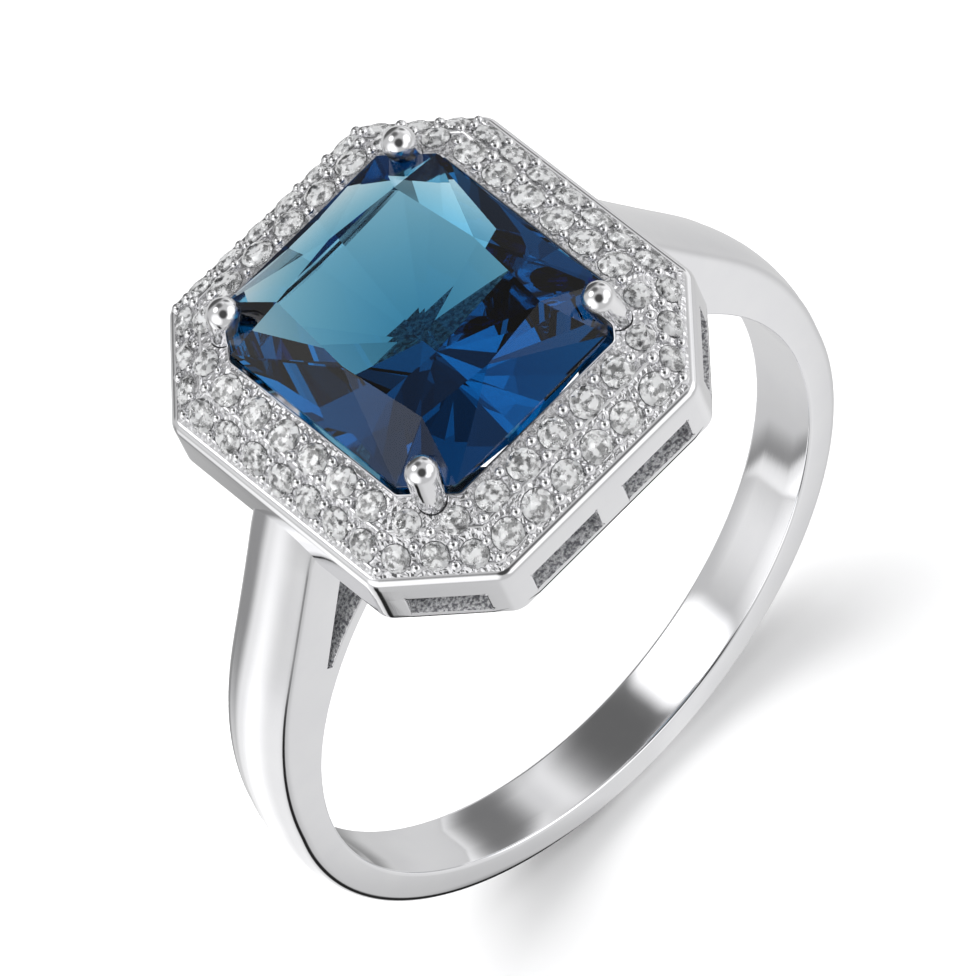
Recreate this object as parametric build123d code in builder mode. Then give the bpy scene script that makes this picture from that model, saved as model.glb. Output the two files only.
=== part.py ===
"""Cocktail ring: a split-shoulder shank under an octagonal pave halo with one large cut-corner stone.

Frame: the origin is the centre of the finger hole, X runs across the hoop, Y is the finger axis
and +Z points up through the stone. Millimetres throughout.
"""

from build123d import *
import os
from math import acos, atan2, cos, degrees, hypot, radians, sin, sqrt

# ---- shank -------------------------------------------------------------------------------------
finger_radius = 8.65        # a US size 7 finger
hoop_wall = 1.0             # thickness at the hoop's edges
hoop_dome = 0.15            # rise of the outside's gentle dome
rail_wall = 0.4             # the thin band that closes the hoop under the head
base_width = 1.9            # along the finger, at the bottom
shoulder_width = 2.4        # along the finger, from taper_top upward
taper_top = 6.0             # height at which the shank reaches its full width
shoulder_start = 0.6        # height at which the shoulders leave the hoop
shoulder_bend = 12.0        # radius of the shoulder's outside curve
shoulder_rounding = 0.2
arm_shelf = 0.45            # how far a shoulder's top stands outside the gallery wall
arm_root = 1.5              # a shoulder's thickness where it meets the gallery
slot_tip_angle = 42.0       # degrees above X at which the V-slot ends
slot_end = 0.42             # height of the slot's closed end

# ---- centre stone ------------------------------------------------------------------------------
stone_half_x = 3.70
stone_half_y = 4.28
stone_cut_x = 1.0           # how much each corner cut takes off in X
stone_cut_y = 1.2           # and in Y
girdle_thickness = 0.14
crown_height = 0.85
pavilion_depth = 3.1
table_inset = 1.35
culet_half_x = 0.2
culet_half_y = 0.5
culet_cut = 0.1

# ---- head: widths are measured from its outside, heights from the gallery's lower edge ------------------
halo_width = 2.08           # from the centre stone's girdle to the head's outside
halo_cut_x = 2.35
halo_cut_y = 2.60
halo_corner_radius = 0.6
gallery_lift = 1.4          # from the top of the finger hole to the gallery
ledge_rise = 1.3            # the halo plate sits on the gallery here
rim_rise = 1.8
crest_rise = 2.63           # the plate's ridge, between its two rows of stones
opening_rise = 2.95         # the plate's edge around the centre stone
girdle_rise = 3.07          # the lower edge of the centre stone's girdle
gallery_wall = 0.7
rim_wall = 0.2
gallery_rounding = 0.18
window_height = 0.74
window_sill = 0.28          # metal left under each window
side_window_width = 2.35
side_window_post = 0.9      # metal left between the two windows of a side
corner_window_width = 2.1

# ---- halo plate and its small stones -------------------------------------------------------------
plate_clearance = 0.01      # between the plate's edge and the rim
crest_inset = 1.05          # from the head's outside to the ridge
opening_clearance = 0.07    # between the centre stone's outline and the plate
side_melee_radius = 0.44    # small stones along the four sides
corner_melee_radius = 0.38  # and, a little smaller, across the four cut corners
melee_pitch = 1.06
melee_table_share = 0.59    # of a small stone's radius
melee_crown = 0.13
melee_girdle = 0.04
melee_pavilion = 0.38
melee_clearance = 0.015
outer_row_inset = 0.61
inner_row_inset = 1.40
outer_corner_inset = 0.55
inner_corner_inset = 1.22   # the inner row swings outward around each prong

# ---- basket ------------------------------------------------------------------------------------
bead_radius = 0.46
bead_inset_x = 0.55         # from the centre stone's outline to a bead's centre
bead_inset_y = 0.58
bead_rise = 0.60            # from the girdle's upper edge to a bead's centre
foot_inset = 0.40           # from the centre stone's outline to a prong's foot
foot_drop = 0.22            # from the girdle's lower edge to the foot
prong_radius = 0.36
prong_neck_radius = 0.40
prong_clearance = 0.01
rail_bar = 0.55             # width of the basket's bars
rail_height = 0.35
upper_rail_drop = 0.02      # gap between the upper rail and the halo plate

# ---- values that follow --------------------------------------------------------------------------
rail_radius = finger_radius + rail_wall
edge_radius = finger_radius + hoop_wall
crown_radius = edge_radius + hoop_dome
halo_half_x = stone_half_x + halo_width
halo_half_y = stone_half_y + halo_width
gallery_bottom = finger_radius + gallery_lift
ledge_height = gallery_bottom + ledge_rise
rim_top = gallery_bottom + rim_rise
crest_height = gallery_bottom + crest_rise
opening_height = gallery_bottom + opening_rise
girdle_bottom = gallery_bottom + girdle_rise
girdle_top = girdle_bottom + girdle_thickness
opening_inset = halo_width - opening_clearance


def cut_corner(half_x, half_y, cut_x, cut_y, inset):
    """An octagon's eight corners, counter-clockwise, with every side moved in by inset."""
    half_x, half_y, cut_x, cut_y = (
        half_x - inset,
        half_y - inset,
        cut_x + inset * (hypot(1, cut_x / cut_y) - cut_x / cut_y - 1),
        cut_y + inset * (hypot(1, cut_y / cut_x) - cut_y / cut_x - 1),
    )
    return [
        (half_x - cut_x, -half_y),
        (half_x, cut_y - half_y),
        (half_x, half_y - cut_y),
        (half_x - cut_x, half_y),
        (cut_x - half_x, half_y),
        (-half_x, half_y - cut_y),
        (-half_x, cut_y - half_y),
        (cut_x - half_x, -half_y),
    ]


def halo_corners(inset):
    return cut_corner(halo_half_x, halo_half_y, halo_cut_x, halo_cut_y, inset)


def stone_corners(inset):
    return cut_corner(stone_half_x, stone_half_y, stone_cut_x, stone_cut_y, inset)


def finish(part, name):
    """Name a finished piece and write it out."""
    part.label = name
    export_step(part, f"parts/{name}.step")


os.makedirs("parts", exist_ok=True)

# ---- shank: a domed hoop below, a thin finger rail above --------------------------------------------
half_base = base_width / 2
half_shoulder = shoulder_width / 2

with BuildPart() as taper:
    with BuildSketch(Plane.YZ):
        Polygon(
            (-half_base, -crown_radius),
            (half_base, -crown_radius),
            (half_shoulder, taper_top),
            (half_shoulder, rim_top),
            (-half_shoulder, rim_top),
            (-half_shoulder, taper_top),
            align=None,
        )
    extrude(amount=crown_radius, both=True)

with BuildPart() as shank:
    with BuildSketch(Plane.YZ):
        with BuildLine():
            Polyline(
                (-half_shoulder, edge_radius),
                (-half_shoulder, finger_radius),
                (half_shoulder, finger_radius),
                (half_shoulder, edge_radius),
            )
            ThreePointArc(
                (half_shoulder, edge_radius),
                (0, crown_radius),
                (-half_shoulder, edge_radius),
            )
        make_face()
    revolve(axis=Axis.Y)
    with BuildSketch(Plane.XZ):
        with Locations((0, shoulder_start)):
            Rectangle(3 * crown_radius, crown_radius, align=(Align.CENTER, Align.MIN))
        Circle(rail_radius, mode=Mode.SUBTRACT)
    extrude(amount=shoulder_width, both=True, mode=Mode.SUBTRACT)
    add(taper.part, mode=Mode.INTERSECT)
finish(shank.part, "shank")

# ---- shoulders: each rises from the hoop to the gallery, split from the finger rail by the V-slot ------
tip = (rail_radius * cos(radians(slot_tip_angle)), rail_radius * sin(radians(slot_tip_angle)))
tip_top = (
    tip[0] + slot_end * cos(radians(slot_tip_angle)),
    tip[1] + slot_end * sin(radians(slot_tip_angle)),
)
rail_start = (sqrt(rail_radius**2 - shoulder_start**2), shoulder_start)
rail_middle_angle = (degrees(atan2(shoulder_start, rail_start[0])) + slot_tip_angle) / 2
hoop_start = (sqrt(crown_radius**2 - shoulder_start**2), shoulder_start)
arm_outside = (halo_half_x + arm_shelf, gallery_bottom)
arm_inside = (arm_outside[0] - arm_root, gallery_bottom)
# the straight upper part runs from arm_outside and touches the bend
from_bend_centre = (arm_outside[0] - hoop_start[0] + shoulder_bend, arm_outside[1] - hoop_start[1])
shoulder_lean = degrees(atan2(from_bend_centre[1], from_bend_centre[0])) - degrees(
    acos(shoulder_bend / hypot(*from_bend_centre))
)
bend_end = (
    hoop_start[0] - shoulder_bend * (1 - cos(radians(shoulder_lean))),
    hoop_start[1] + shoulder_bend * sin(radians(shoulder_lean)),
)

with BuildPart() as right_shoulder:
    with BuildSketch(Plane.XZ):
        with BuildLine():
            Polyline(rail_start, hoop_start)
            JernArc(hoop_start, (0, 1), shoulder_bend, shoulder_lean)
            Polyline(
                bend_end,
                arm_outside,
                (halo_half_x, gallery_bottom + arm_shelf),
                (halo_half_x, gallery_bottom),
                arm_inside,
                tip_top,
                tip,
            )
            ThreePointArc(
                tip,
                (
                    rail_radius * cos(radians(rail_middle_angle)),
                    rail_radius * sin(radians(rail_middle_angle)),
                ),
                rail_start,
            )
        make_face()
    extrude(amount=half_shoulder, both=True)
    add(taper.part, mode=Mode.INTERSECT)
    outer_face = right_shoulder.faces().filter_by(GeomType.CYLINDER).sort_by(Axis.X)[-1]
    fillet(outer_face.edges().filter_by(GeomType.LINE, reverse=True), shoulder_rounding)
finish(right_shoulder.part, "right_shoulder")

with BuildPart() as left_shoulder:
    add(right_shoulder.part)
    mirror(about=Plane.YZ, mode=Mode.REPLACE)
finish(left_shoulder.part, "left_shoulder")

# ---- gallery: the windowed wall whose top is the halo's polished rim ---------------------------------
window_middle = gallery_bottom + window_sill + window_height / 2
side_window_x = (side_window_width + side_window_post) / 2
corner_middle = (halo_half_x - halo_cut_x / 2, halo_half_y - halo_cut_y / 2)
corner_turn = degrees(atan2(halo_cut_y, halo_cut_x))

with BuildPart() as gallery_frame:
    with BuildSketch(Plane.XY.offset(gallery_bottom)) as wall_outline:
        Polygon(*halo_corners(0), align=None)
        fillet(wall_outline.vertices(), halo_corner_radius)
    extrude(amount=rim_top - gallery_bottom)
    level_edges = gallery_frame.edges().filter_by(Plane.XY)
    fillet(level_edges.group_by(Axis.Z)[-1], rim_wall * 0.6)
    fillet(gallery_frame.edges().filter_by(Plane.XY).group_by(Axis.Z)[0], gallery_rounding)
    with BuildSketch(Plane.XY.offset(gallery_bottom)):
        Polygon(*halo_corners(gallery_wall), align=None)
    extrude(amount=ledge_height - gallery_bottom, mode=Mode.SUBTRACT)
    with BuildSketch(Plane.XY.offset(ledge_height)):
        Polygon(*halo_corners(rim_wall), align=None)
    extrude(amount=rim_top - ledge_height, mode=Mode.SUBTRACT)
    with Locations((side_window_x, 0, window_middle), (-side_window_x, 0, window_middle)):
        Box(side_window_width, 3 * halo_half_y, window_height, mode=Mode.SUBTRACT)
    for side in (-1, 1):
        with Locations(
            Location((corner_middle[0], side * corner_middle[1], window_middle), (0, 0, -side * corner_turn)),
            Location((-corner_middle[0], side * corner_middle[1], window_middle), (0, 0, side * corner_turn)),
        ):
            Box(corner_window_width, 3 * gallery_wall, window_height, mode=Mode.SUBTRACT)
finish(gallery_frame.part, "gallery_frame")

# ---- small round stones, and the seat that each one needs ---------------------------------------------
def round_stone(radius):
    """A round stone with its girdle's lower edge at the origin."""
    with BuildPart() as stone:
        with BuildSketch(Plane.XZ):
            Polygon(
                (0, melee_girdle + melee_crown),
                (0, -melee_pavilion),
                (radius, 0),
                (radius, melee_girdle),
                (radius * melee_table_share, melee_girdle + melee_crown),
                align=None,
            )
        revolve(axis=Axis.Z)
    return stone.part


def stone_seat(radius):
    """What is cut away to seat a round stone of that radius."""
    with BuildPart() as seat:
        with BuildSketch(Plane.XZ):
            Polygon(
                (0, radius),
                (0, -melee_pavilion - melee_clearance),
                (radius + melee_clearance, 0),
                (radius + melee_clearance, radius),
                align=None,
            )
        revolve(axis=Axis.Z)
    return seat.part


side_names = ("front", "front_right", "right", "back_right", "back", "back_left", "left", "front_left")


def row_places(side_inset, corner_inset, band_outside, band_inside):
    """For each side of the halo, where a row's stones sit and how they tilt.

    A band is a flat strip of the plate between two (inset, height) lines.
    """
    slope = (band_inside[1] - band_outside[1]) / (band_inside[0] - band_outside[0])
    places = {}
    for index, name in enumerate(side_names):
        inset = corner_inset if "_" in name else side_inset
        height = band_outside[1] + slope * (inset - band_outside[0])
        corners = halo_corners(inset)
        start = Vector(*corners[index - 1], height)
        along = Vector(*corners[index], height) - start
        outward = along.cross(Vector(0, 0, 1)).normalized()
        count = round(along.length / melee_pitch)
        planes = [
            Plane(
                start + along * ((step + 0.5) / count),
                x_dir=along,
                z_dir=Vector(0, 0, 1) + outward * slope,
            )
            for step in range(count)
        ]
        places[name] = [plane.location for plane in planes]
    return places


plate_inset = rim_wall + plate_clearance
plate_edge = (plate_inset, rim_top)
crest = (crest_inset, crest_height)
opening_edge = (opening_inset, opening_height)
rows = {
    "outer": row_places(outer_row_inset, outer_corner_inset, plate_edge, crest),
    "inner": row_places(inner_row_inset, inner_corner_inset, crest, opening_edge),
}


def melee_size(side_name):
    return corner_melee_radius if "_" in side_name else side_melee_radius


round_stones = {name: round_stone(melee_size(name)) for name in side_names}
stone_seats = {name: stone_seat(melee_size(name)) for name in side_names}

# ---- centre stone: cut-corner step outline, crown, girdle and pavilion ---------------------------------
with BuildPart() as centre_stone:
    with BuildSketch(Plane.XY.offset(girdle_bottom)):
        Polygon(*stone_corners(0), align=None)
    extrude(amount=girdle_thickness)
    with BuildSketch(Plane.XY.offset(girdle_top)):
        Polygon(*stone_corners(0), align=None)
    with BuildSketch(Plane.XY.offset(girdle_top + crown_height)):
        Polygon(*stone_corners(table_inset), align=None)
    loft(ruled=True)
    with BuildSketch(Plane.XY.offset(girdle_bottom - pavilion_depth)):
        Polygon(*cut_corner(culet_half_x, culet_half_y, culet_cut, culet_cut, 0), align=None)
    with BuildSketch(Plane.XY.offset(girdle_bottom)):
        Polygon(*stone_corners(0), align=None)
    loft(ruled=True)
finish(centre_stone.part, "centre_stone")

# ---- basket: four beaded prongs on two rails --------------------------------------------------------------
foot = Vector(stone_half_x - foot_inset, stone_half_y - foot_inset, girdle_bottom - foot_drop)
bead = Vector(stone_half_x - bead_inset_x, stone_half_y - bead_inset_y, girdle_top + bead_rise)
upper_rail_bottom = ledge_height - upper_rail_drop - rail_height

with BuildPart() as prong:
    with BuildSketch(Plane(foot, z_dir=bead - foot)):
        Circle(prong_neck_radius)
    extrude(amount=(bead - foot).length)
    with Locations(bead):
        Sphere(bead_radius)
    with Locations(foot):
        Sphere(prong_neck_radius)
    with BuildSketch(Plane.XY.offset(gallery_bottom)):
        with Locations((foot.X, foot.Y)):
            Circle(prong_radius)
    extrude(until=Until.NEXT)
    add(centre_stone.part, mode=Mode.SUBTRACT)

with BuildPart() as prong_pocket:
    with Locations(foot):
        Sphere(prong_neck_radius + prong_clearance)
    with BuildSketch(Plane.XY.offset(gallery_bottom)):
        with Locations((foot.X, foot.Y)):
            Circle(prong_radius + prong_clearance)
    extrude(amount=foot.Z - gallery_bottom)
    with BuildSketch(Plane(foot, z_dir=bead - foot)):
        Circle(prong_neck_radius + prong_clearance)
    extrude(amount=(bead - foot).length)


def at_corners(part):
    """Copies of a part made in the +X +Y corner, mirrored into all four, by corner name."""
    back_left = part.mirror(Plane.YZ)
    return {
        "back_right": part,
        "back_left": back_left,
        "front_right": part.mirror(Plane.XZ),
        "front_left": back_left.mirror(Plane.XZ),
    }


prong_pockets = list(at_corners(prong_pocket.part).values())

for corner, copy in at_corners(prong.part).items():
    finish(copy, f"prong_{corner}")


def basket_rail(bottom, name):
    """A rectangular rail through the four prongs' legs."""
    with BuildPart() as rail:
        with BuildSketch(Plane.XY.offset(bottom)) as outline:
            Rectangle(2 * foot.X + rail_bar, 2 * foot.Y + rail_bar)
            fillet(outline.vertices(), rail_bar)
            Rectangle(2 * foot.X - rail_bar, 2 * foot.Y - rail_bar, mode=Mode.SUBTRACT)
        extrude(amount=rail_height)
        add(prong_pockets, mode=Mode.SUBTRACT)
    finish(rail.part, name)


basket_rail(upper_rail_bottom, "basket_upper_rail")
basket_rail(gallery_bottom, "basket_lower_rail")

# ---- halo plate: two sloping bands around the stone, with a seat under every small stone -------------------
bands = ((plate_edge, crest), (crest, opening_edge))

with BuildPart() as halo_plate:
    with BuildSketch(Plane.XY.offset(ledge_height)):
        Polygon(*halo_corners(plate_inset), align=None)
    extrude(amount=rim_top - ledge_height)
    for outside, inside in bands:
        for inset, height in (outside, inside):
            with BuildSketch(Plane.XY.offset(height)):
                Polygon(*halo_corners(inset), align=None)
        loft(ruled=True)
    with BuildSketch(Plane.XY.offset(ledge_height)):
        Polygon(*stone_corners(-opening_clearance), align=None)
    extrude(amount=opening_height - ledge_height, mode=Mode.SUBTRACT)
    add(prong_pockets, mode=Mode.SUBTRACT)
    for row in rows.values():
        for side_name, places in row.items():
            with Locations(*places):
                add(stone_seats[side_name], mode=Mode.SUBTRACT)
finish(halo_plate.part, "halo_plate")

# ---- the small stones in their seats, one node for each row of each side -----------------------------------
for row_name, row in rows.items():
    for side_name, places in row.items():
        with BuildPart() as stones:
            with Locations(*places):
                add(round_stones[side_name])
        finish(stones.part, f"{row_name}_stones_{side_name}")
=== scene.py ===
"""Cocktail ring: the looks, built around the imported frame.

The origin is the centre of the finger hole, X runs across the hoop, Y is the finger axis and +Z
points up through the stone. Millimetres throughout; finish_piece turns them to metres.
"""

from math import acos, atan2, cos, hypot, pi, radians, sin, sqrt, tan

import bmesh
import bpy
from mathutils import Matrix, Vector


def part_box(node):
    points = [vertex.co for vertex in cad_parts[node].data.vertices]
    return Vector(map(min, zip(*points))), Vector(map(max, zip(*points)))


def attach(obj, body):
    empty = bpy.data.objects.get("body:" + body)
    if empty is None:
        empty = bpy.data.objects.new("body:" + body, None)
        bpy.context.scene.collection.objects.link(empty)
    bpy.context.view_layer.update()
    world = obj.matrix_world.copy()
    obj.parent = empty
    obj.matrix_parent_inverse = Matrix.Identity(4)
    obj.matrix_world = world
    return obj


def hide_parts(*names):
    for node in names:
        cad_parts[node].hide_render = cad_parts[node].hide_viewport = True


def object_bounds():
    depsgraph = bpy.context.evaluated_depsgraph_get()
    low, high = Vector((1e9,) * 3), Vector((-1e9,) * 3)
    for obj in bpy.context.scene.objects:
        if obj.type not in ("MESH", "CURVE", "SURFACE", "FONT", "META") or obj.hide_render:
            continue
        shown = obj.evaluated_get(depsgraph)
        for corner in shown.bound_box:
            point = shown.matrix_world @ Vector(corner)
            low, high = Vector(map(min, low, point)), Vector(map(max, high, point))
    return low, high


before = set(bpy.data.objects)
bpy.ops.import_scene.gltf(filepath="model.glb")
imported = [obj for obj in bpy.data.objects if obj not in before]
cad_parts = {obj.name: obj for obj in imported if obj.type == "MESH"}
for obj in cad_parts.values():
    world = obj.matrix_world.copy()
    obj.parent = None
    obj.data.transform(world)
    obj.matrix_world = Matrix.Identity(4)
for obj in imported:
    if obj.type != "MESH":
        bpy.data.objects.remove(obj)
cad_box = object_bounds()
MM = 0.001


def node_box(name):
    """A CAD node's lowest and highest corners in millimetres."""
    return [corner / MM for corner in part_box(name)]


# ---- sizes read from the frame -----------------------------------------------------------------
gallery_low, gallery_high = node_box("gallery_frame")
plate_low, plate_high = node_box("halo_plate")
stone_low, stone_high = node_box("centre_stone")
shoulder_low, shoulder_high = node_box("right_shoulder")
shank_low, shank_high = node_box("shank")

halo_half_x, halo_half_y = gallery_high.x, gallery_high.y
gallery_bottom, rim_top = gallery_low.z, gallery_high.z
ledge_height, opening_height = plate_low.z, plate_high.z
stone_half_x, stone_half_y = stone_high.x, stone_high.y
table_height, culet_height = stone_high.z, stone_low.z
rail_radius = shank_high.z
crown_radius = -shank_low.z
half_shoulder = shoulder_high.y
shoulder_start = shoulder_low.z
arm_inside_x = shoulder_low.x
arm_top = shoulder_high.z

# ---- sizes the frame can't give, as in the part's own source -----------------------------------
FINGER_RADIUS = 8.65
HALF_BASE = 0.95
TAPER_TOP = 6.0
HOOP_DOME = 0.15
SHOULDER_BEND = 12.0
SLOT_TIP_ANGLE = radians(42)

HALO_CUT = (2.35, 2.60)
HALO_CORNER_RADIUS = 0.6
GALLERY_WALL = 0.7
WINDOW_SILL = 0.28
WINDOW_HEIGHT = 0.74
SIDE_WINDOWS = ((-2.80, -0.45), (0.45, 2.80))
CORNER_WINDOWS = ((-1.05, 1.05),)

STONE_CUT = (1.0, 1.2)
GIRDLE_BOTTOM = 3.07        # above the gallery's lower edge
GIRDLE_THICKNESS = 0.14

PLATE_INSET = 0.21
CREST_INSET = 1.05
CREST_RISE = 2.63           # above the gallery's lower edge
OPENING_CLEARANCE = 0.07
SIDE_MELEE_RADIUS = 0.44
CORNER_MELEE_RADIUS = 0.38
MELEE_PITCH = 1.06
MELEE_TABLE_SHARE = 0.59
MELEE_CROWN = 0.13
MELEE_GIRDLE = 0.04
MELEE_PAVILION = 0.38
OUTER_ROW_INSETS = (0.61, 0.55)     # along the sides, across the corners
INNER_ROW_INSETS = (1.40, 1.22)

BEAD_RADIUS = 0.46
BEAD = Vector((3.15, 3.70, 13.86))
FOOT = Vector((3.30, 3.88, 12.90))
LEG_RADIUS = 0.36

girdle_bottom = gallery_bottom + GIRDLE_BOTTOM
girdle_top = girdle_bottom + GIRDLE_THICKNESS
crest_height = gallery_bottom + CREST_RISE
opening_inset = halo_half_x - stone_half_x - OPENING_CLEARANCE

SIDE_NAMES = ("front", "front_right", "right", "back_right", "back", "back_left", "left", "front_left")


# ---- materials ---------------------------------------------------------------------------------
def linear(hex_colour):
    """An sRGB hex colour as linear RGBA."""
    channels = [int(hex_colour[i : i + 2], 16) / 255 for i in (1, 3, 5)]
    return [c / 12.92 if c <= 0.04045 else ((c + 0.055) / 1.055) ** 2.4 for c in channels] + [1.0]


def per_mm(count):
    """A pattern's scale, from how many of its grains lie along a millimetre."""
    return count / MM


def add_node(tree, kind, inputs=(), **settings):
    """Add a node with its settings; each input is a plain value or another node's output."""
    made = tree.nodes.new(kind)
    for name, value in settings.items():
        setattr(made, name, value)
    for name, value in dict(inputs).items():
        if isinstance(value, bpy.types.NodeSocket):
            tree.links.new(value, made.inputs[name])
        else:
            made.inputs[name].default_value = value
    return made


def new_material(name):
    """An empty material, its node tree and its Principled shader."""
    material = bpy.data.materials.new(name)
    material.use_nodes = True
    tree = material.node_tree
    return material, tree, tree.nodes["Principled BSDF"]


def rhodium_polished_silver():
    """Sterling silver, rhodium plated and buffed: a cool white mirror.

    The buffing leaves patches about a millimetre across that are a little hazier, and handling
    leaves hairlines that show only where a highlight's edge crosses them.
    """
    material, tree, shader = new_material("rhodium_polished_silver")
    place = add_node(tree, "ShaderNodeTexCoord").outputs["Object"]
    haze = add_node(
        tree, "ShaderNodeTexNoise", {"Vector": place, "Scale": per_mm(0.9), "Detail": 3.0}
    ).outputs["Fac"]
    gloss = add_node(
        tree,
        "ShaderNodeMapRange",
        {"Value": haze, "From Min": 0.3, "From Max": 0.7, "To Min": 0.055, "To Max": 0.10},
    )
    tint = add_node(
        tree,
        "ShaderNodeMix",
        {"Factor": haze, "A": linear("#E9E9EC"), "B": linear("#F2F2F3")},
        data_type="RGBA",
    )
    stretched = add_node(
        tree,
        "ShaderNodeMapping",
        {"Vector": place, "Scale": (1.0, 12.0, 1.0), "Rotation": (0.0, 0.0, 0.4)},
    ).outputs["Vector"]
    hairlines = add_node(
        tree, "ShaderNodeTexNoise", {"Vector": stretched, "Scale": per_mm(2.5), "Detail": 2.0}
    ).outputs["Fac"]
    bump = add_node(
        tree, "ShaderNodeBump", {"Strength": 0.02, "Distance": 0.02 * MM, "Height": hairlines}
    )
    tree.links.new(tint.outputs["Result"], shader.inputs["Base Color"])
    tree.links.new(gloss.outputs["Result"], shader.inputs["Roughness"])
    tree.links.new(bump.outputs["Normal"], shader.inputs["Normal"])
    shader.inputs["Metallic"].default_value = 1.0
    return material


def cast_silver():
    """Silver as it leaves the investment mould, inside the windows and the slots.

    No wheel reaches there, so it keeps the mould's grain of about 0.1 mm, whose bump is real; the light
    and dark specks in its colour are painted highlight and shade of that grain.
    """
    material, tree, shader = new_material("investment_cast_silver")
    place = add_node(tree, "ShaderNodeTexCoord").outputs["Object"]
    grain = add_node(
        tree,
        "ShaderNodeTexNoise",
        {"Vector": place, "Scale": per_mm(11.0), "Detail": 3.0, "Roughness": 0.6},
    ).outputs["Fac"]
    # painted highlight and shade: the colour runs from dark grey to near white with the grain
    painted_glint_speckle = add_node(
        tree, "ShaderNodeMapRange", {"Value": grain, "From Min": 0.40, "From Max": 0.60}
    ).outputs["Result"]
    tint = add_node(
        tree,
        "ShaderNodeMix",
        {"Factor": painted_glint_speckle, "A": linear("#85858A"), "B": linear("#FAFAFB")},
        data_type="RGBA",
    )
    gloss = add_node(
        tree,
        "ShaderNodeMapRange",
        {"Value": grain, "From Min": 0.3, "From Max": 0.7, "To Min": 0.5, "To Max": 0.25},
    )
    bump = add_node(
        tree, "ShaderNodeBump", {"Strength": 1.0, "Distance": 0.08 * MM, "Height": grain}
    )
    tree.links.new(tint.outputs["Result"], shader.inputs["Base Color"])
    tree.links.new(gloss.outputs["Result"], shader.inputs["Roughness"])
    tree.links.new(bump.outputs["Normal"], shader.inputs["Normal"])
    shader.inputs["Metallic"].default_value = 0.45
    return material


def grain_set_silver():
    """Silver between set stones, cut up by the graver.

    The cuts are bright facets 0.1 to 0.2 mm across at all angles, so the surface glitters between
    white and dark grey.
    """
    material, tree, shader = new_material("grain_set_silver")
    place = add_node(tree, "ShaderNodeTexCoord").outputs["Object"]
    cuts = add_node(
        tree,
        "ShaderNodeTexVoronoi",
        {"Vector": place, "Scale": per_mm(6.5)},
        feature="F1",
        distance="CHEBYCHEV",
    ).outputs["Distance"]
    scratches = add_node(
        tree, "ShaderNodeTexNoise", {"Vector": place, "Scale": per_mm(14.0), "Detail": 3.0}
    ).outputs["Fac"]
    tint = add_node(
        tree,
        "ShaderNodeMix",
        {"Factor": scratches, "A": linear("#C0C0C4"), "B": linear("#F8F8F9")},
        data_type="RGBA",
    )
    cut_bump = add_node(
        tree, "ShaderNodeBump", {"Strength": 0.7, "Distance": 0.08 * MM, "Height": cuts}
    ).outputs["Normal"]
    bump = add_node(
        tree,
        "ShaderNodeBump",
        {"Strength": 0.25, "Distance": 0.03 * MM, "Height": scratches, "Normal": cut_bump},
    )
    tree.links.new(tint.outputs["Result"], shader.inputs["Base Color"])
    tree.links.new(bump.outputs["Normal"], shader.inputs["Normal"])
    shader.inputs["Metallic"].default_value = 0.92
    shader.inputs["Roughness"].default_value = 0.16
    return material


def blue_topaz():
    """Deep blue topaz, cut and polished: clear, its colour deepening with the light's path."""
    material, tree, shader = new_material("blue_topaz")
    place = add_node(tree, "ShaderNodeTexCoord").outputs["Object"]
    veil = add_node(tree, "ShaderNodeTexNoise", {"Vector": place, "Scale": per_mm(0.35), "Detail": 2.0})
    tint = add_node(
        tree,
        "ShaderNodeMix",
        {"Factor": veil.outputs["Fac"], "A": linear("#F4FAFF"), "B": linear("#FFFFFF")},
        data_type="RGBA",
    )
    absorbs = add_node(
        tree, "ShaderNodeVolumeAbsorption", {"Color": (0.0, 0.60, 0.78, 1.0), "Density": 0.7 / MM}
    )
    tree.links.new(tint.outputs["Result"], shader.inputs["Base Color"])
    tree.links.new(absorbs.outputs["Volume"], tree.nodes["Material Output"].inputs["Volume"])
    shader.inputs["Transmission Weight"].default_value = 1.0
    shader.inputs["Roughness"].default_value = 0.0
    shader.inputs["IOR"].default_value = 1.62
    return material


def cubic_zirconia():
    """Colourless cubic zirconia, machine cut and set in bright-cut silver.

    The stones are water clear; the white in each stone's patchwork of clear and white is painted
    sparkle, standing in for the light that facets 0.2 mm across and the cut seats behind them throw
    about.
    """
    material, tree, shader = new_material("cubic_zirconia")
    place = add_node(tree, "ShaderNodeTexCoord").outputs["Object"]
    veil = add_node(tree, "ShaderNodeTexNoise", {"Vector": place, "Scale": per_mm(2.0), "Detail": 1.0})
    tint = add_node(
        tree,
        "ShaderNodeMix",
        {"Factor": veil.outputs["Fac"], "A": linear("#F6F8FA"), "B": linear("#FFFFFF")},
        data_type="RGBA",
    )
    painted_sparkle = add_node(
        tree, "ShaderNodeTexNoise", {"Vector": place, "Scale": per_mm(5.5), "Detail": 2.0}
    ).outputs["Fac"]
    # painted sparkle: in patches the stone stops being fully clear and shows its white base colour
    clear = add_node(
        tree,
        "ShaderNodeMapRange",
        {"Value": painted_sparkle, "From Min": 0.42, "From Max": 0.58, "To Min": 1.0, "To Max": 0.55},
    )
    tree.links.new(tint.outputs["Result"], shader.inputs["Base Color"])
    tree.links.new(clear.outputs["Result"], shader.inputs["Transmission Weight"])
    shader.inputs["Roughness"].default_value = 0.0
    shader.inputs["IOR"].default_value = 2.15
    return material


polished = rhodium_polished_silver()
cast = cast_silver()
grain_set = grain_set_silver()
topaz = blue_topaz()
zirconia = cubic_zirconia()


# ---- making and finishing a piece --------------------------------------------------------------
WELD = 0.0005       # points nearer than this are one


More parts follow.
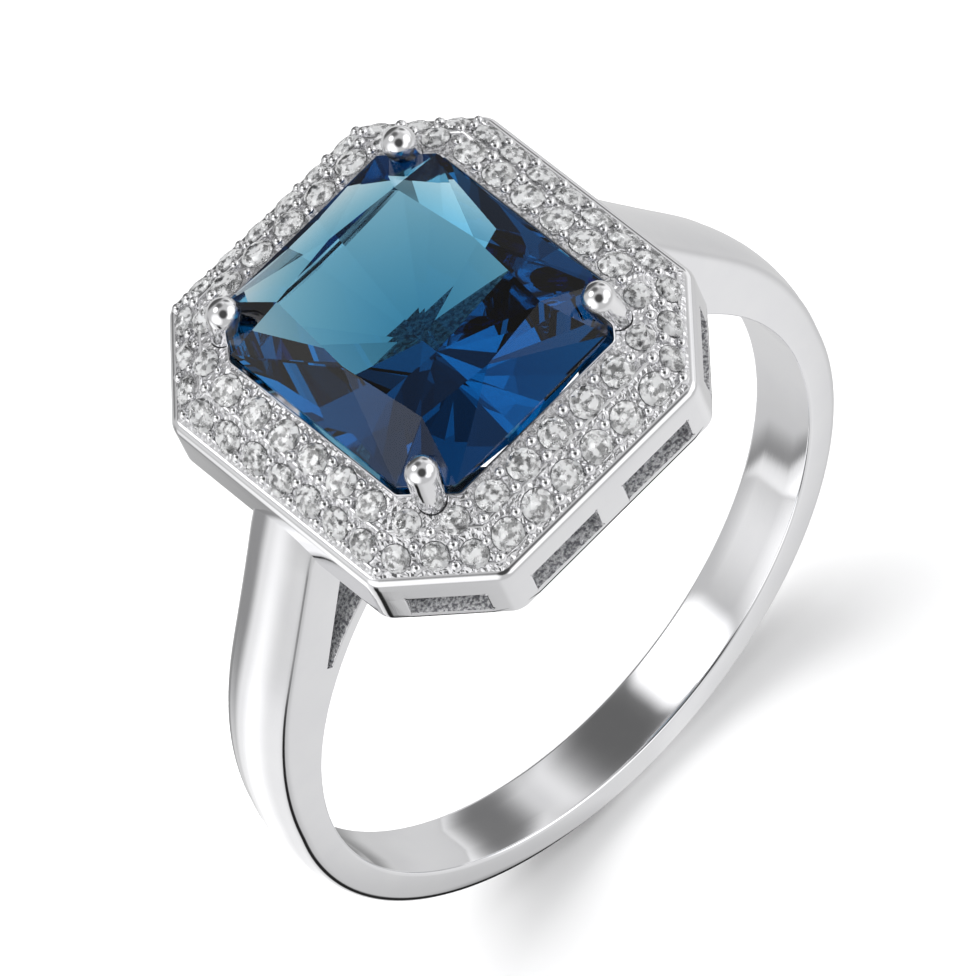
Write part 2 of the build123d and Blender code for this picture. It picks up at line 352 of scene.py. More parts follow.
def skin(bm, loops, wrap):
    """A surface through loops of equally many points; wrap joins the last loop to the first."""
    count = len(loops[0])
    rows = loops + [loops[0]] if wrap else loops
    grid = bmesh.ops.create_grid(bm, x_segments=len(rows) - 1, y_segments=count, size=1)["verts"]
    for vert in grid:
        row = round((vert.co.x + 1) / 2 * (len(rows) - 1))
        point = round((vert.co.y + 1) / 2 * count) % count
        vert.co = rows[row][point]
    bmesh.ops.remove_doubles(bm, verts=grid, dist=WELD)
    bmesh.ops.dissolve_degenerate(bm, edges=bm.edges, dist=WELD)


def close_ends(bm):
    """Cap every open edge loop."""
    bmesh.ops.holes_fill(bm, edges=[edge for edge in bm.edges if edge.is_boundary], sides=0)


def finish_piece(name, bm, materials, replaced=(), smooth_angle=35.0, flat=False):
    """Turn a mesh in millimetres into a finished piece of the ring."""
    bmesh.ops.recalc_face_normals(bm, faces=bm.faces)
    bmesh.ops.scale(bm, vec=(MM, MM, MM), verts=bm.verts)
    mesh = bpy.data.meshes.new(name)
    bm.to_mesh(mesh)
    bm.free()
    for material in materials:
        mesh.materials.append(material)
    if flat:
        mesh.shade_flat()
    else:
        mesh.shade_smooth()
        mesh.set_sharp_from_angle(angle=radians(smooth_angle))
    piece = bpy.data.objects.new(name, mesh)
    bpy.context.scene.collection.objects.link(piece)
    if not flat:
        piece.modifiers.new("Weighted normals", "WEIGHTED_NORMAL").keep_sharp = True
    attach(piece, "root")
    if replaced:
        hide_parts(*replaced)
    return piece


# ---- octagonal outlines ------------------------------------------------------------------------
def cut_corner(half_x, half_y, cut_x, cut_y, inset):
    """An octagon's eight corners, counter-clockwise, with every side moved in by inset."""
    half_x, half_y, cut_x, cut_y = (
        half_x - inset,
        half_y - inset,
        cut_x + inset * (hypot(1, cut_x / cut_y) - cut_x / cut_y - 1),
        cut_y + inset * (hypot(1, cut_y / cut_x) - cut_y / cut_x - 1),
    )
    return [
        Vector(corner)
        for corner in (
            (half_x - cut_x, -half_y),
            (half_x, cut_y - half_y),
            (half_x, half_y - cut_y),
            (half_x - cut_x, half_y),
            (cut_x - half_x, half_y),
            (-half_x, half_y - cut_y),
            (-half_x, cut_y - half_y),
            (cut_x - half_x, -half_y),
        )
    ]


def halo_corners(inset):
    return cut_corner(halo_half_x, halo_half_y, *HALO_CUT, inset)


def stone_corners(inset):
    return cut_corner(stone_half_x, stone_half_y, *STONE_CUT, inset)


def side_frame(outline, side, inset):
    """A side's middle, its direction and its outward direction."""
    corners = outline(inset)
    along = (corners[side] - corners[side - 1]).normalized()
    return (corners[side] + corners[side - 1]) / 2, along, Vector((along.y, -along.x))


def columns_round(outline, radius, arc_steps, marks=()):
    """Columns round an outline with rounded corners, each a function from inset to its place."""
    marks = dict(marks)

    def on_side(side, offset):
        def place(inset):
            middle, along, _ = side_frame(outline, side, inset)
            return middle + along * offset

        return place

    def on_corner(corner, turn):
        _, _, before = side_frame(outline, corner, 0)
        _, _, after = side_frame(outline, (corner + 1) % 8, 0)
        normal = before.slerp(after, turn)

        def place(inset):
            left = max(radius - inset, 0)
            return outline(inset + left)[corner] + normal * left

        return place

    columns = []
    for side in range(8):
        columns += [on_side(side, offset) for offset in marks.get(side, ())]
        columns += [on_corner(side, step / arc_steps) for step in range(arc_steps + 1)]
    return columns


def ring_of_profile(bm, columns, profile):
    """A closed profile of (inset, height) points carried round the columns."""
    loops = [[(*column(inset), height) for inset, height in profile] for column in columns]
    skin(bm, loops, wrap=True)


# ---- shank: hoop and arms in one sweep ---------------------------------------------------------
INNER_EDGE = 0.10
OUTER_EDGE = 0.26
EDGE_STEPS = 5
SLOT_END = 0.12             # the file leaves the slot's tip sharper than the part's plain cut
FACING = 0.9                # cosine from which a face counts as facing one way
FACING_CLOSELY = 0.95

tip = Vector((cos(SLOT_TIP_ANGLE), sin(SLOT_TIP_ANGLE)))
arm_outside = Vector((halo_half_x + arm_top - gallery_bottom, gallery_bottom))
arm_inside = Vector((arm_inside_x, gallery_bottom))
bend_centre = Vector((sqrt(crown_radius**2 - shoulder_start**2) - SHOULDER_BEND, shoulder_start))
to_arm = arm_outside - bend_centre
lean = atan2(to_arm.y, to_arm.x) - acos(SHOULDER_BEND / to_arm.length)
bend_end = bend_centre + SHOULDER_BEND * Vector((cos(lean), sin(lean)))


def outside_at(angle):
    """Where the shank's outside crosses a ray from the finger hole's centre."""
    ray = Vector((cos(angle), sin(angle)))
    if ray.y * crown_radius <= shoulder_start:
        return ray * crown_radius
    if angle <= atan2(bend_end.y, bend_end.x):
        across = ray.dot(bend_centre)
        return ray * (across + sqrt(across**2 - bend_centre.length_squared + SHOULDER_BEND**2))
    run = arm_outside - bend_end
    return ray * (bend_end.cross(run) / ray.cross(run))


def half_width(height):
    """Half the shank's width, which grows from its foot up to the taper's top."""
    share = (height + crown_radius) / (TAPER_TOP + crown_radius)
    return HALF_BASE + (half_shoulder - HALF_BASE) * min(max(share, 0), 1)


def band_section(inside, outside, dome, outer_edge):
    """A flat-sided band's section, with soft edges, between two points of the XZ plane."""
    up = outside - inside
    thickness = up.length
    up.normalize()
    wide = half_width((inside.y + outside.y) / 2)
    flat_top = thickness - dome

    def corner(centre_x, centre_up, radius, start):
        turns = [start + step * pi / (2 * EDGE_STEPS) for step in range(EDGE_STEPS + 1)]
        return [(centre_x + radius * cos(turn), centre_up + radius * sin(turn)) for turn in turns]

    points = corner(INNER_EDGE - wide, INNER_EDGE, INNER_EDGE, pi)
    points += [(share * (wide - INNER_EDGE), 0) for share in (-0.5, 0, 0.5)]
    points += corner(wide - INNER_EDGE, INNER_EDGE, INNER_EDGE, 1.5 * pi)
    points += corner(wide - outer_edge, flat_top - outer_edge, outer_edge, 0)
    crown_half = wide - outer_edge
    shares = [step / 4 for step in range(-3, 4)]
    points += [(-share * crown_half, flat_top + dome * (1 - share**2)) for share in shares]
    points += corner(outer_edge - wide, flat_top - outer_edge, outer_edge, 0.5 * pi)
    return [Vector((inside.x + up.x * v, u, inside.y + up.y * v)) for u, v in points]


HOOP_STEPS = 66
ARM_STEPS = 12
ROOT_NEAR = Vector((0.25, 0.06))    # the arm's inside runs on into the gallery wall by these
ROOT_FAR = Vector((0.45, 0.10))
ROOT_TOP = Vector((-0.25, 0.05))    # and its outside by this
half_hoop = []
for step in range(HOOP_STEPS + 1):
    angle = -pi / 2 + (SLOT_TIP_ANGLE + pi / 2) * step / HOOP_STEPS
    ray = Vector((cos(angle), sin(angle)))
    half_hoop.append((ray * FINGER_RADIUS, outside_at(angle)))
arm_start = (tip * (rail_radius + SLOT_END), outside_at(SLOT_TIP_ANGLE))
for step in range(ARM_STEPS + 1):
    share = step / ARM_STEPS
    half_hoop.append((arm_start[0].lerp(arm_inside, share), arm_start[1].lerp(arm_outside, share)))
arm_run = arm_outside - bend_end
wall_meeting = arm_outside + arm_run * (arm_top - gallery_bottom) / -arm_run.x
half_hoop.append((arm_inside + ROOT_NEAR, wall_meeting))
half_hoop.append((arm_inside + ROOT_FAR, wall_meeting + ROOT_TOP))

right_loops = [
    band_section(inside, outside, HOOP_DOME, OUTER_EDGE) for inside, outside in half_hoop
]
mirrored = [[Vector((-p.x, p.y, p.z)) for p in loop] for loop in right_loops[1:]]

bm = bmesh.new()
skin(bm, mirrored[::-1] + right_loops, wrap=False)
close_ends(bm)
bmesh.ops.recalc_face_normals(bm, faces=bm.faces)
arm_back = (arm_inside - arm_start[0]).normalized()
arm_back = Vector((-arm_back.y, arm_back.x))
along_slot_end = Vector((-tip.y, tip.x))
for face in bm.faces:
    middle = face.calc_center_median()
    side = 1 if middle.x > 0 else -1
    spot = Vector((side * middle.x, middle.z))
    turned = Vector((side * face.normal.x, face.normal.z))
    in_slot = spot.y > tip.y * FINGER_RADIUS and spot.length > rail_radius
    under_arm = turned.dot(arm_back) > FACING
    slot_floor = turned.dot(tip) < -FACING or turned.dot(along_slot_end) > FACING_CLOSELY
    if in_slot and (under_arm or slot_floor):
        face.material_index = 1
shank_nodes = ("shank", "left_shoulder", "right_shoulder")
finish_piece("shank_body", bm, (polished, cast), shank_nodes)

RAIL_STEPS = 48
RAIL_EDGE = 0.08
rail_loops = []
for step in range(RAIL_STEPS + 1):
    angle = SLOT_TIP_ANGLE + (pi - 2 * SLOT_TIP_ANGLE) * step / RAIL_STEPS
    ray = Vector((cos(angle), sin(angle)))
    rail_loops.append(band_section(ray * FINGER_RADIUS, ray * rail_radius, 0.0, RAIL_EDGE))
bm = bmesh.new()
skin(bm, rail_loops, wrap=False)
close_ends(bm)
for face in bm.faces:
    middle = face.calc_center_median()
    if hypot(middle.x, middle.z) > rail_radius - RAIL_EDGE / 4:
        face.material_index = 1
finish_piece("finger_rail", bm, (polished, cast))

# ---- gallery wall with its windows -------------------------------------------------------------
window_low = gallery_bottom + WINDOW_SILL
window_high = window_low + WINDOW_HEIGHT
RIM_BAND = 0.24
RIM_ROUNDING = 0.34
RIM_INNER_EDGE = (0.02, 0.04)       # how far the rim's inner edge is eased, across and down
BOTTOM_ROUNDING = 0.18
WINDOW_CORNER = 0.10
WINDOW_EDGE = 0.04
SLACK = 0.1         # allowed either side of the wall when its faces are looked for

windows = {side: SIDE_WINDOWS for side in (0, 4)}
windows.update({side: CORNER_WINDOWS for side in (1, 3, 5, 7)})
window_marks = {side: [end for span in spans for end in span] for side, spans in windows.items()}
wall_columns = columns_round(halo_corners, HALO_CORNER_RADIUS, 8, window_marks)
quarter = [radians(15 * step) for step in range(7)]
wall_profile = [
    (BOTTOM_ROUNDING * (1 - cos(turn)), gallery_bottom + BOTTOM_ROUNDING * (1 - sin(turn)))
    for turn in reversed(quarter)
]
wall_profile += [(0, window_low), (0, window_high)]
wall_profile += [
    (RIM_BAND * (1 - cos(turn)), rim_top - RIM_ROUNDING * (1 - sin(turn))) for turn in quarter
]
wall_profile += [
    (RIM_BAND + RIM_INNER_EDGE[0], rim_top - RIM_INNER_EDGE[1]),
    (RIM_BAND + RIM_INNER_EDGE[0], ledge_height),
    (GALLERY_WALL, ledge_height),
    (GALLERY_WALL, window_high),
    (GALLERY_WALL, window_low),
    (GALLERY_WALL, gallery_bottom),
]

bm = bmesh.new()
ring_of_profile(bm, wall_columns, wall_profile)


def window_faces(side, span):
    """The wall's outer and inner faces that a window cuts away."""
    middle, along, outward = side_frame(halo_corners, side, 0)
    found = []
    for face in bm.faces:
        centre = face.calc_center_median()
        from_middle = Vector((centre.x, centre.y)) - middle
        if (
            span[0] < from_middle.dot(along) < span[1]
            and -GALLERY_WALL - SLACK < from_middle.dot(outward) < SLACK
            and window_low < centre.z < window_high
        ):
            found.append(face)
    return found


tunnels = []
for side, spans in windows.items():
    for span in spans:
        bmesh.ops.delete(bm, geom=window_faces(side, span), context="FACES")
        edges = [edge for edge in bm.edges if edge.is_boundary]
        tunnels += bmesh.ops.bridge_loops(bm, edges=edges)["faces"]
tunnel_corners = [
    edge
    for edge in bm.edges
    if all(face in tunnels for face in edge.link_faces) and edge.calc_length() > 0.5 * GALLERY_WALL
]
for face in tunnels:
    face.material_index = 1
bmesh.ops.bevel(
    bm,
    geom=tunnel_corners,
    offset=WINDOW_CORNER,
    segments=3,
    profile=0.5,
    affect="EDGES",
    material=1,
)
mouths = [
    edge
    for edge in bm.edges
    if len(edge.link_faces) == 2 and {face.material_index for face in edge.link_faces} == {0, 1}
]
bmesh.ops.bevel(
    bm, geom=mouths, offset=WINDOW_EDGE, segments=2, profile=0.5, affect="EDGES", material=0
)
wall_sides = [side_frame(halo_corners, side, 0) for side in range(8)]
for face in bm.faces:
    spot = face.calc_center_median().xy
    outside_sides = [(spot - middle).dot(outward) for middle, _, outward in wall_sides]
    if max(outside_sides) < 0.01 - GALLERY_WALL:
        face.material_index = 1
finish_piece("gallery_wall", bm, (polished, cast), ("gallery_frame",))

# ---- halo trims: opening lip with its corner seats, rim thread and crest wire ------------------
LIP_POINTS = (              # inset from the stone's outline, height above the opening's edge
    (-0.07, -0.15),
    (-0.07, 0.0),
    (-0.085, 0.025),
    (-0.11, 0.035),
    (-0.135, 0.02),
    (-0.15, -0.02),
    (-0.15, -0.15),
)
lip_profile = [(inset, opening_height + rise) for inset, rise in LIP_POINTS]
SEAT_REACH = 1.0            # how far a corner seat runs in under the stone's cut corner
SEAT_LENGTH = 3.0
SEAT_THICKNESS = 0.10
SEAT_DROP = 0.68            # from the opening's edge to the seat's middle
bm = bmesh.new()
ring_of_profile(bm, columns_round(stone_corners, 0, 1), lip_profile)
for side in (1, 3, 5, 7):
    middle, along, outward = side_frame(stone_corners, side, 0)
    seat_middle = (middle - outward * (SEAT_REACH - OPENING_CLEARANCE) / 2).to_3d()
    seat_middle.z = opening_height - SEAT_DROP
    turned = Matrix((along.to_3d(), -outward.to_3d(), Vector((0, 0, 1)))).transposed().to_4x4()
    sized = Matrix.Diagonal((SEAT_LENGTH, SEAT_REACH + OPENING_CLEARANCE, SEAT_THICKNESS, 1))
    bmesh.ops.create_cube(bm, size=1, matrix=Matrix.Translation(seat_middle) @ turned @ sized)
finish_piece("opening_lip", bm, (polished,))


def wire_section(inset, height, radius):
    """A thin wire's eight-sided section."""
    turns = [radians(45 * step) for step in range(8)]
    return [(inset + radius * cos(turn), height + radius * sin(turn)) for turn in turns]


THREAD_INSET = 0.36
THREAD_RADIUS = 0.04
THREAD_PROUD = 0.02
outer_slope = (crest_height - rim_top) / (CREST_INSET - PLATE_INSET)
thread_height = rim_top + outer_slope * (THREAD_INSET - PLATE_INSET) + THREAD_PROUD
bm = bmesh.new()
ring_of_profile(
    bm,
    columns_round(halo_corners, HALO_CORNER_RADIUS, 6),
    wire_section(THREAD_INSET, thread_height, THREAD_RADIUS),
)
finish_piece("rim_thread", bm, (polished,))

CREST_WIRE_INSET = CREST_INSET + 0.01
CREST_WIRE_RADIUS = 0.05
bm = bmesh.new()
ring_of_profile(
    bm,
    columns_round(halo_corners, 0, 1),
    wire_section(CREST_WIRE_INSET, crest_height, CREST_WIRE_RADIUS),
)
finish_piece("crest_wire", bm, (polished,))

# ---- small stones and the grains that hold them ------------------------------------------------
MELEE_KITE = (0.80, 0.56)       # where the crown's kites end: share of the radius, of the crown
MELEE_LOWER = (0.24, 0.74)      # where the long lower facets end: of the radius, of the pavilion
STEP_TURN = 0.7                 # each stone is set turned a little further than the last
SIDE_TURN = 1.3
GRAIN_RADIUS = 0.165
GRAIN_ACROSS = 0.27             # from the row's line
GRAIN_PROUD = 0.03
GRAIN_SIZES = (1.0, 0.82, 1.12, 0.92, 1.05, 0.75, 1.0)
PRONG_ROOM = 0.6                # no grain is raised this near a prong's foot
bands = {
    "outer": (OUTER_ROW_INSETS, (PLATE_INSET, rim_top), (CREST_INSET, crest_height)),
    "inner": (INNER_ROW_INSETS, (CREST_INSET, crest_height), (opening_inset, opening_height)),
}


def row_frame(row_name, side):
    """A row on one side: its start, its run, how many stones, and its across and up directions."""
    insets, low, high = bands[row_name]
    inset = insets[side % 2]
    slope = (high[1] - low[1]) / (high[0] - low[0])
    height = low[1] + slope * (inset - low[0])
    corners = halo_corners(inset)
    start = corners[side - 1].to_3d() + Vector((0, 0, height))
    run = corners[side].to_3d() + Vector((0, 0, height)) - start
    outward = run.cross(Vector((0, 0, 1))).normalized()
    up = (Vector((0, 0, 1)) + outward * slope).normalized()
    return start, run, round(run.length / MELEE_PITCH), up.cross(run).normalized(), up


def add_brilliant(bm, place, radius):
    """A round stone: eight-sided table, faceted crown, thin girdle and pointed pavilion."""
    verts = []
    for count, ring_radius, height, turn in (
        (8, radius * MELEE_TABLE_SHARE, MELEE_GIRDLE + MELEE_CROWN, 0.5),
        (8, radius * MELEE_KITE[0], MELEE_GIRDLE + MELEE_CROWN * MELEE_KITE[1], 0.0),
        (16, radius, MELEE_GIRDLE, 0.5),
        (16, radius, 0.0, 0.5),
        (8, radius * MELEE_LOWER[0], -MELEE_PAVILION * MELEE_LOWER[1], 0.5),
    ):
        turned = Matrix.Translation((0, 0, height)) @ Matrix.Rotation(turn * 2 * pi / count, 4, "Z")
        circle = bmesh.ops.create_circle(
            bm, segments=count, radius=ring_radius, matrix=place @ turned
        )
        verts += circle["verts"]
    verts += bmesh.ops.create_vert(bm, co=place @ Vector((0, 0, -MELEE_PAVILION)))["vert"]
    hull = bmesh.ops.convex_hull(bm, input=verts)
    inside = [part for part in hull["geom_interior"] if isinstance(part, bmesh.types.BMVert)]
    bmesh.ops.delete(bm, geom=inside, context="VERTS")


grains = bmesh.new()
prong_feet = [Vector((sx * FOOT.x, sy * FOOT.y)) for sx in (-1, 1) for sy in (-1, 1)]
for row_name in bands:
    for side, side_name in enumerate(SIDE_NAMES):
        start, run, count, across, up = row_frame(row_name, side)
        radius = CORNER_MELEE_RADIUS if side % 2 else SIDE_MELEE_RADIUS
        x_axis = run.normalized()
        laid = Matrix((x_axis, up.cross(x_axis), up)).transposed().to_4x4()
        bm = bmesh.new()
        for step in range(count):
            middle = Matrix.Translation(start + run * (step + 0.5) / count)
            turned = Matrix.Rotation(STEP_TURN * step + SIDE_TURN * side, 4, "Z")
            add_brilliant(bm, middle @ laid @ turned, radius)
        name = f"{row_name}_brilliants_{side_name}"
        replaced = (f"{row_name}_stones_{side_name}",)
        finish_piece(name, bm, (zirconia,), replaced, flat=True)
        for step in range(count):
            for sign in (-1, 1):
                spot = start + run * step / count + across * sign * GRAIN_ACROSS
                if min((spot.xy - foot).length for foot in prong_feet) > PRONG_ROOM:
                    share = GRAIN_SIZES[(5 * step + 3 * side + sign) % len(GRAIN_SIZES)]
                    bmesh.ops.create_uvsphere(
                        grains,
                        u_segments=8,
                        v_segments=6,
                        radius=GRAIN_RADIUS * share,
                        matrix=Matrix.Translation(spot + up * GRAIN_PROUD),
                    )
finish_piece("setting_grains", grains, (polished,), smooth_angle=80)

# ---- prongs ------------------------------------------------------------------------------------
PRONG_NECK = 0.45
LEG_CHAMFER = 0.05
bead_turns = [radians(10 * step) for step in range(1, 10)]
prong_profile = [(0, BEAD.z + BEAD_RADIUS)]     # radius and height, from the bead's top down
prong_profile += [
    (BEAD_RADIUS * sin(turn), BEAD.z + BEAD_RADIUS * cos(turn)) for turn in bead_turns
]
prong_profile += [
    (BEAD_RADIUS * 0.995, BEAD.z - 0.15),
    (PRONG_NECK, FOOT.z + 0.50),
    (PRONG_NECK - 0.02, FOOT.z + 0.25),
    (PRONG_NECK - 0.05, FOOT.z + 0.05),
    (LEG_RADIUS, FOOT.z - 0.15),
    (LEG_RADIUS, gallery_bottom + LEG_CHAMFER),
    (LEG_RADIUS - LEG_CHAMFER, gallery_bottom),
    (0, gallery_bottom),
]
for corner_name, sign_x, sign_y in (
    ("back_right", 1, 1),
    ("back_left", -1, 1),
    ("front_right", 1, -1),
    ("front_left", -1, -1),
):
    bm = bmesh.new()
    outline = [
        bmesh.ops.create_vert(bm, co=(radius, 0, height))["vert"][0]
        for radius, height in prong_profile
    ]
    edges = [bm.edges.new(pair) for pair in zip(outline, outline[1:])]
    bmesh.ops.spin(
        bm,
        geom=outline + edges,
        cent=(0, 0, 0),
        axis=(0, 0, 1),
        angle=2 * pi,
        steps=40,
        use_merge=True,
    )
    bmesh.ops.remove_doubles(bm, verts=bm.verts, dist=WELD)
    for vert in bm.verts:
        rise = min(max((vert.co.z - FOOT.z) / (BEAD.z - FOOT.z), 0), 1)
        centre = FOOT.lerp(BEAD, rise)
        vert.co.x += centre.x
        vert.co.y += centre.y
    bmesh.ops.scale(bm, vec=(sign_x, sign_y, 1), verts=bm.verts)
    replaced = (f"prong_{corner_name}",)
    finish_piece(f"claw_{corner_name}", bm, (polished,), replaced)

# ---- centre stone ------------------------------------------------------------------------------
TABLE_CORNER = (2.10, 2.70)
TABLE_MIDDLE = (2.35, 2.95)
CULET_HALF_Y = 0.25
GIRDLE_FACET_SLOPE = radians(72)
GIRDLE_FACET_DEPTH = 0.26
UPPER_BREAK_SLOPE = radians(44)
UPPER_BREAK_TURN = radians(12)
LOWER_BREAK_SLOPE = radians(34)
LOWER_BREAK_TURN = radians(28)
SIDE_MAIN_SLOPE = radians(32.6)


def cut_facet(bm, normal, point):
    """Grind one flat facet: all that stands outside the plane goes, and the cut is closed."""
    bmesh.ops.bisect_plane(
        bm,
        geom=bm.verts[:] + bm.edges[:] + bm.faces[:],
        plane_co=point,
        plane_no=normal,
        clear_outer=True,
        dist=1e-5,
    )
    close_ends(bm)


bm = bmesh.new()
levels = (girdle_bottom, girdle_top)
rough_points = [(*corner, level) for level in levels for corner in stone_corners(0)]
for sign in (-1, 1):
    rough_points += [
        (sign * TABLE_CORNER[0], TABLE_CORNER[1], table_height),
        (sign * TABLE_CORNER[0], -TABLE_CORNER[1], table_height),
        (sign * TABLE_MIDDLE[0], 0, table_height),
        (0, sign * TABLE_MIDDLE[1], table_height),
    ]
rough_points += [(*corner, culet_height) for corner in stone_corners(0)]
hull_verts = [bmesh.ops.create_vert(bm, co=point)["vert"][0] for point in rough_points]
bmesh.ops.convex_hull(bm, input=hull_verts)
bmesh.ops.dissolve_limit(bm, angle_limit=radians(0.5), verts=bm.verts, edges=bm.edges)


def grind(azimuth, slope, reference):
    """One pavilion facet: its outward azimuth and slope, and a point it passes through."""
    normal = Vector((cos(azimuth) * sin(slope), sin(azimuth) * sin(slope), -cos(slope)))
    cut_facet(bm, normal, reference)


half_sizes = (stone_half_x, stone_half_y, stone_half_x, stone_half_y)
for quarter_turn, half_size in enumerate(half_sizes):
    facing = quarter_turn * pi / 2
    outward = Vector((round(cos(facing)), round(sin(facing)), 0))
    keel = Vector((0, outward.y * CULET_HALF_Y, culet_height))
    grind(facing, GIRDLE_FACET_SLOPE, outward * half_size + Vector((0, 0, girdle_bottom)))
    shelf = outward * (half_size - GIRDLE_FACET_DEPTH) + Vector(
        (0, 0, girdle_bottom - GIRDLE_FACET_DEPTH * tan(GIRDLE_FACET_SLOPE))
    )
    for sign in (-1, 1):
        grind(facing + sign * UPPER_BREAK_TURN, UPPER_BREAK_SLOPE, shelf)
        lower = facing + sign * LOWER_BREAK_TURN
        keel_end = Vector((0, CULET_HALF_Y if sin(lower) > 0 else -CULET_HALF_Y, culet_height))
        grind(lower, LOWER_BREAK_SLOPE, keel_end)
    grind(facing, SIDE_MAIN_SLOPE, keel)
for side in (1, 3, 5, 7):
    middle, _, outward = side_frame(stone_corners, side, 0)
    keel = Vector((0, CULET_HALF_Y if middle.y > 0 else -CULET_HALF_Y, culet_height))
    reach = (middle - keel.xy).dot(outward)
    grind(atan2(outward.y, outward.x), atan2(girdle_bottom - culet_height, reach), keel)
finish_piece("blue_stone", bm, (topaz,), ("centre_stone",), flat=True)

# ---- carried CAD nodes -------------------------------------------------------------------------
for name, material in (
    ("halo_plate", grain_set),
    ("basket_upper_rail", polished),
    ("basket_lower_rail", polished),
):
    for material_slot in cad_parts[name].material_slots:
        material_slot.material = material

# ---- floor and card under the ring -------------------------------------------------------------
def under_ring(name, bm, material):
    """A flat sheet level with the ring's foot, part of the studio."""
    bmesh.ops.translate(bm, vec=(0, 0, cad_box[0].z), verts=bm.verts)
    mesh = bpy.data.meshes.new(name)
    bm.to_mesh(mesh)
    bm.free()
    mesh.materials.append(material)
    sheet = bpy.data.objects.new(name, mesh)
    bpy.context.scene.collection.objects.link(sheet)
    return sheet


def gloss_white_board():
    """White acrylic board: matt white underneath with a thin clear gloss that mirrors a little."""
    material, tree, shader = new_material("gloss_white_board")
    place = add_node(tree, "ShaderNodeTexCoord").outputs["Object"]
    cloud = add_node(tree, "ShaderNodeTexNoise", {"Vector": place, "Scale": per_mm(0.02), "Detail": 1.0})
    tint = add_node(
        tree,
        "ShaderNodeMix",
        {"Factor": cloud.outputs["Fac"], "A": linear("#F6F6F7"), "B": linear("#F9F9F9")},
        data_type="RGBA",
    )
    tree.links.new(tint.outputs["Result"], shader.inputs["Base Color"])
    shader.inputs["Roughness"].default_value = 0.05
    return material


FLOOR_HALF = 1500.0
bm = bmesh.new()
bmesh.ops.create_grid(bm, x_segments=1, y_segments=1, size=FLOOR_HALF * MM)
floor = under_ring("floor", bm, gloss_white_board())
floor.visible_glossy = False
floor.visible_transmission = False

TENT_TONE = 0.60
CARD_HALF = 160.0
FADE_START, FADE_END = 35.0, 150.0
# the card's greys are painted light, emitted for the metal and the stones to mirror; the near-black
# stretch is painted shade
# azimuth in degrees from -X, counter-clockwise, and how bright the card glows there
CARD_TONES = (
    (0, 0.80),
    (2, 0.60),
    (5, 0.02),
    (17, 0.02),
    (23, 0.60),
    (50, 0.78),
    (90, 0.80),
    (140, 0.88),
    (180, 0.65),
    (230, 0.72),
    (290, 0.65),
    (316, 0.30),
    (324, 0.95),
    (334, 1.35),
    (348, 0.95),
    (360, 0.80),
)


def grey(tone):
    """A linear grey."""
    return (tone, tone, tone, 1)


def glowing_reflection_card():
    """Glowing card of painted light in soft greys, which the metal and the stones mirror in place of the
    floor.

    It emits its greys and nothing lights it, and its near-black stretch from 5 to 17 degrees is painted
    shade seen in reflection. Its greys run into the tent's own grey towards its rim, so that its edge
    doesn't show.
    """
    material, tree, shader = new_material("glowing_reflection_card")
    place = add_node(tree, "ShaderNodeTexCoord").outputs["Object"]
    round_ring = add_node(
        tree, "ShaderNodeTexGradient", {"Vector": place}, gradient_type="RADIAL"
    ).outputs["Fac"]
    tones = add_node(tree, "ShaderNodeValToRGB", {"Fac": round_ring})
    ramp = tones.color_ramp
    ramp.interpolation = "EASE"
    ramp.elements.remove(ramp.elements[0])
    ramp.elements[0].position = 0.0
    ramp.elements[0].color = grey(CARD_TONES[0][1])
    for azimuth, tone in CARD_TONES[1:]:
        ramp.elements.new(azimuth / 360).color = grey(tone)
    reach = add_node(tree, "ShaderNodeVectorMath", {0: place}, operation="LENGTH").outputs["Value"]
    far = add_node(
        tree,
        "ShaderNodeMapRange",
        {"Value": reach, "From Min": FADE_START * MM, "From Max": FADE_END * MM},
        interpolation_type="SMOOTHSTEP",
    ).outputs["Result"]
    faded = add_node(
        tree,
        "ShaderNodeMix",
        {"Factor": far, "A": tones.outputs["Color"], "B": grey(TENT_TONE)},
        data_type="RGBA",
    )
    # the card's painted light: it emits its greys, and nothing lights it
    glow = add_node(tree, "ShaderNodeEmission", {"Color": faded.outputs["Result"], "Strength": 1.0})
    tree.links.new(glow.outputs["Emission"], tree.nodes["Material Output"].inputs["Surface"])
    tree.nodes.remove(shader)
    return material


bm = bmesh.new()
bmesh.ops.create_circle(bm, cap_ends=True, segments=64, radius=CARD_HALF * MM)
card = under_ring("card", bm, glowing_reflection_card())
card.visible_camera = False
card.visible_diffuse = False
card.visible_shadow = False


# ---- light and camera --------------------------------------------------------------------------
def softbox(name, direction, distance, width, depth, brightness):
    """A soft rectangular light facing the ring; brightness is what a mirror would show of it."""
    lamp = bpy.data.lights.new(name, "AREA")
    lamp.shape = "RECTANGLE"
    lamp.size, lamp.size_y = width * MM, depth * MM
    lamp.energy = brightness * pi * lamp.size * lamp.size_y
    light = bpy.data.objects.new(name, lamp)
    direction = Vector(direction).normalized()
    turned = direction.to_track_quat("Z", "Y").to_matrix().to_4x4()
    light.matrix_world = Matrix.Translation(direction * distance * MM) @ turned
    bpy.context.scene.collection.objects.link(light)
    return light


wash = softbox(
    "floor_wash",
    direction=(-0.15, 0.25, 0.95),
    distance=420,
    width=520,
    depth=520,
    brightness=3.0,
)
wash.visible_glossy = False
wash.visible_transmission = False

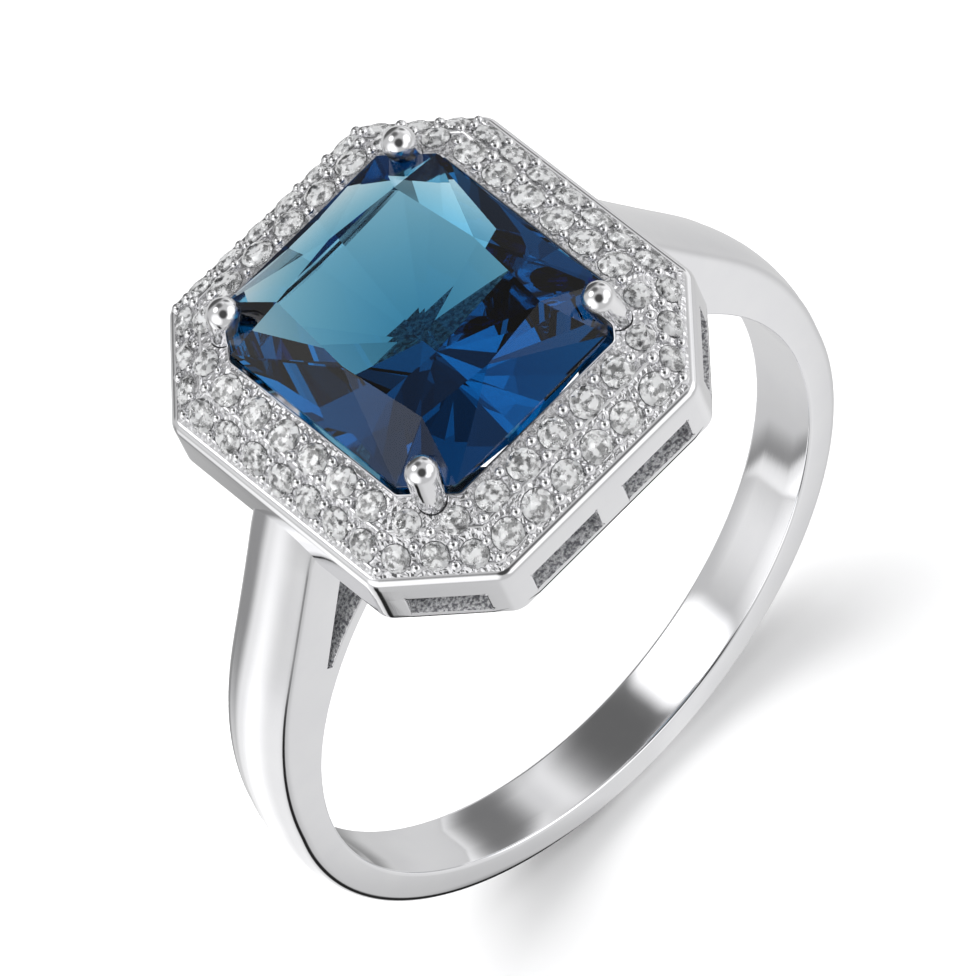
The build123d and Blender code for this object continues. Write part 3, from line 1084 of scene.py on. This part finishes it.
# soft lights and dark flags in the tent: direction, full to this angle, gone by this angle, tone
TENT = (
    ((0.20, 0.98, 0.00), 20, 42, 0.10),
    ((0.50, 0.50, 0.70), 4, 16, 0.92),
    ((0.20, 0.50, 0.84), 3, 27, 0.14),
    ((-0.95, -0.10, 0.30), 15, 45, 1.3),
    ((0.90, 0.20, 0.10), 15, 42, 1.0),
    ((0.20, -0.86, 0.47), 14, 30, 1.3),
    ((-0.33, 0.49, 0.81), 8, 20, 1.8),
    ((0.72, -0.53, 0.45), 12, 30, 1.6),
    ((-0.20, -0.50, 0.84), 18, 36, 0.07),
    ((0.83, 0.50, 0.26), 1, 18, 0.20),
)
world = bpy.data.worlds.new("studio")
bpy.context.scene.world = world
world.use_nodes = True
tree = world.node_tree
background = tree.nodes["Background"]
direction = add_node(tree, "ShaderNodeTexCoord").outputs["Generated"]
tone = add_node(tree, "ShaderNodeValue").outputs["Value"]
tone.default_value = TENT_TONE
for toward, full, gone, level in TENT:
    facing = add_node(
        tree,
        "ShaderNodeVectorMath",
        {0: direction, 1: Vector(toward).normalized()},
        operation="DOT_PRODUCT",
    ).outputs["Value"]
    share = add_node(
        tree,
        "ShaderNodeMapRange",
        {"Value": facing, "From Min": cos(radians(gone)), "From Max": cos(radians(full))},
        interpolation_type="SMOOTHSTEP",
    ).outputs["Result"]
    blend = add_node(tree, "ShaderNodeMix", {"Factor": share, "A": tone, "B": level})
    tone = blend.outputs["Result"]
tree.links.new(tone, background.inputs["Color"])
background.inputs["Strength"].default_value = 1.0

lens = bpy.data.cameras.new("camera")
lens.lens = 426.05
lens.sensor_width = 36.0
lens.clip_start, lens.clip_end = 0.005, 50.0
camera = bpy.data.objects.new("camera", lens)
camera.matrix_world = Matrix(           # columns: right, up, back and place
    (
        (0.69713, 0.68810, -0.20133, -59.8233 * MM),
        (-0.67579, 0.53688, -0.50504, -149.3789 * MM),
        (-0.23943, 0.48814, 0.83928, 253.2075 * MM),
        (0, 0, 0, 1),
    )
)
bpy.context.scene.collection.objects.link(camera)
bpy.context.scene.camera = camera
bpy.context.scene.view_settings.view_transform = "Standard"
